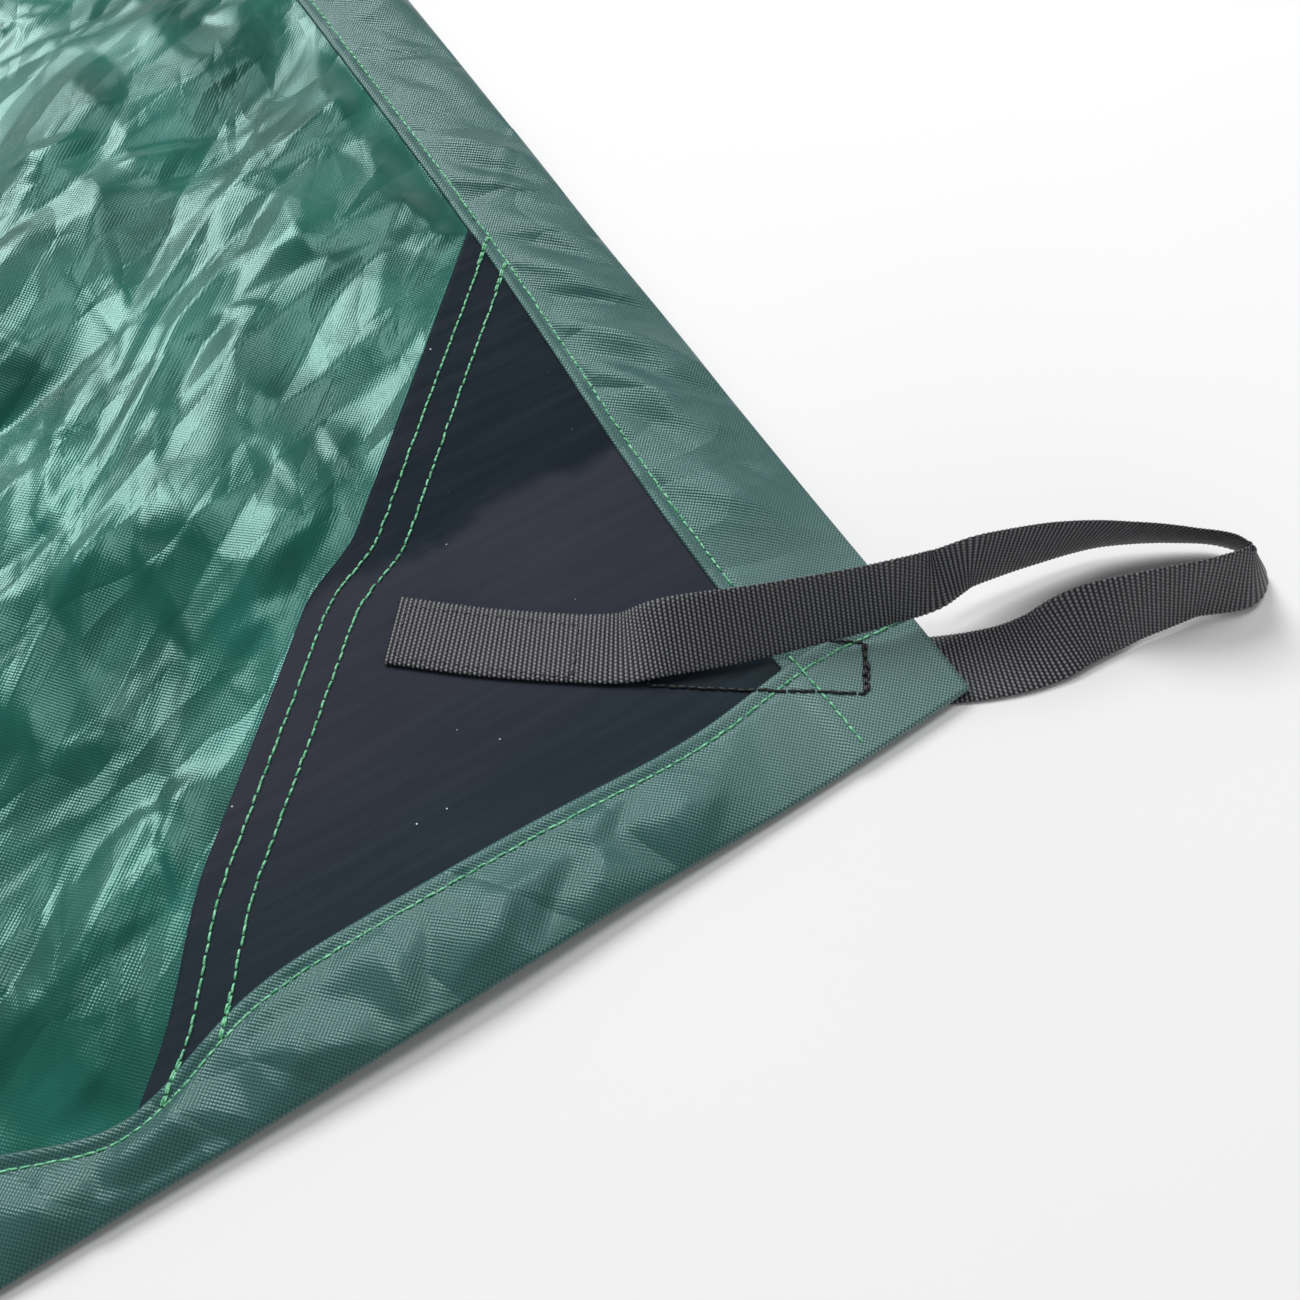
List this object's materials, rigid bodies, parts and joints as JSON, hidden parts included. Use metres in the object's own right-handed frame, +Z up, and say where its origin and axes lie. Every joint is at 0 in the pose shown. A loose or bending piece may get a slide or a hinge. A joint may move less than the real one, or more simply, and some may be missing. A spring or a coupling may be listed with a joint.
{
  "type": "rope storage sheet",
  "caption": "Square hemmed cloth for keeping rope on, with reinforced corners and a webbing handle loop at each corner, laid open.",
  "frame": {"origin": "middle of the square sheet, on the plane that the webbing under its corners rests on", "axes": "+X and +Y along the sheet's edges, +Z up from the ground; the pictured corner is the one at +X, -Y"},
  "size_m": [1.4308, 1.4308, 0.0327],
  "materials": {
    "green_cloth": "PU-coated polyester, satin, crumpled",
    "woven_face": "woven polyester face of the turned hem, matt",
    "black_patch": "PVC-coated cloth, smooth, satin",
    "webbing": "ribbed polypropylene webbing, matt",
    "green_thread": "polyester sewing thread",
    "black_thread": "bonded polyester sewing thread"
  },
  "bodies": {
    "sheet": {"panel": "green_cloth", "hem_middle_1": "woven_face", "hem_seam_1": "green_thread", "hem_middle_2": "woven_face", "hem_seam_2": "green_thread", "hem_middle_3": "woven_face", "hem_seam_3": "green_thread", "hem_middle_4": "woven_face", "hem_seam_4": "green_thread"},
    "corner_1": {"panel_corner_1": "green_cloth", "patch_1": "black_patch", "hem_through_1": "woven_face", "hem_butted_1": "woven_face", "patch_seam_near_1": "green_thread", "patch_seam_far_1": "green_thread", "strap_upper_1": "webbing", "strap_under_1": "webbing", "box_stitch_upper_1": "black_thread", "box_stitch_lower_1": "black_thread"},
    "handle_1": {"grip_loop_1": "webbing"},
    "corner_2": {"panel_corner_2": "green_cloth", "patch_2": "black_patch", "hem_through_2": "woven_face", "hem_butted_2": "woven_face", "patch_seam_near_2": "green_thread", "patch_seam_far_2": "green_thread", "strap_upper_2": "webbing", "strap_under_2": "webbing", "box_stitch_upper_2": "black_thread", "box_stitch_lower_2": "black_thread"},
    "handle_2": {"grip_loop_2": "webbing"},
    "corner_3": {"panel_corner_3": "green_cloth", "patch_3": "black_patch", "hem_through_3": "woven_face", "hem_butted_3": "woven_face", "patch_seam_near_3": "green_thread", "patch_seam_far_3": "green_thread", "strap_upper_3": "webbing", "strap_under_3": "webbing", "box_stitch_upper_3": "black_thread", "box_stitch_lower_3": "black_thread"},
    "handle_3": {"grip_loop_3": "webbing"},
    "corner_4": {"panel_corner_4": "green_cloth", "patch_4": "black_patch", "hem_through_4": "woven_face", "hem_butted_4": "woven_face", "patch_seam_near_4": "green_thread", "patch_seam_far_4": "green_thread", "strap_upper_4": "webbing", "strap_under_4": "webbing", "box_stitch_upper_4": "black_thread", "box_stitch_lower_4": "black_thread"},
    "handle_4": {"grip_loop_4": "webbing"}
  },
  "joints": [
    {"name": "corner_lift_1", "type": "hinge", "parent": "sheet", "child": "corner_1", "pos_m": [0.43232, -0.43232, 0.0042], "axis": [-0.7071, -0.7071, 0], "range_deg": [0, 110]},
    {"name": "handle_swing_1", "type": "hinge", "parent": "corner_1", "child": "handle_1", "pos_m": [0.63246, -0.56797, 0.0198], "axis": [-0.5299, -0.6635, -0.5282], "range_deg": [0, 100]},
    {"name": "corner_lift_2", "type": "hinge", "parent": "sheet", "child": "corner_2", "pos_m": [0.43232, 0.43232, 0.0042], "axis": [0.7071, -0.7071, 0], "range_deg": [0, 110]},
    {"name": "handle_swing_2", "type": "hinge", "parent": "corner_2", "child": "handle_2", "pos_m": [0.56797, 0.63246, 0.0198], "axis": [0.6635, -0.5299, -0.5282], "range_deg": [0, 100]},
    {"name": "corner_lift_3", "type": "hinge", "parent": "sheet", "child": "corner_3", "pos_m": [-0.43232, 0.43232, 0.0042], "axis": [0.7071, 0.7071, 0], "range_deg": [0, 110]},
    {"name": "handle_swing_3", "type": "hinge", "parent": "corner_3", "child": "handle_3", "pos_m": [-0.63246, 0.56797, 0.0198], "axis": [0.5299, 0.6635, -0.5282], "range_deg": [0, 100]},
    {"name": "corner_lift_4", "type": "hinge", "parent": "sheet", "child": "corner_4", "pos_m": [-0.43232, -0.43232, 0.0042], "axis": [-0.7071, 0.7071, 0], "range_deg": [0, 110]},
    {"name": "handle_swing_4", "type": "hinge", "parent": "corner_4", "child": "handle_4", "pos_m": [-0.56797, -0.63246, 0.0198], "axis": [-0.6635, 0.5299, -0.5282], "range_deg": [0, 100]}
  ]
}
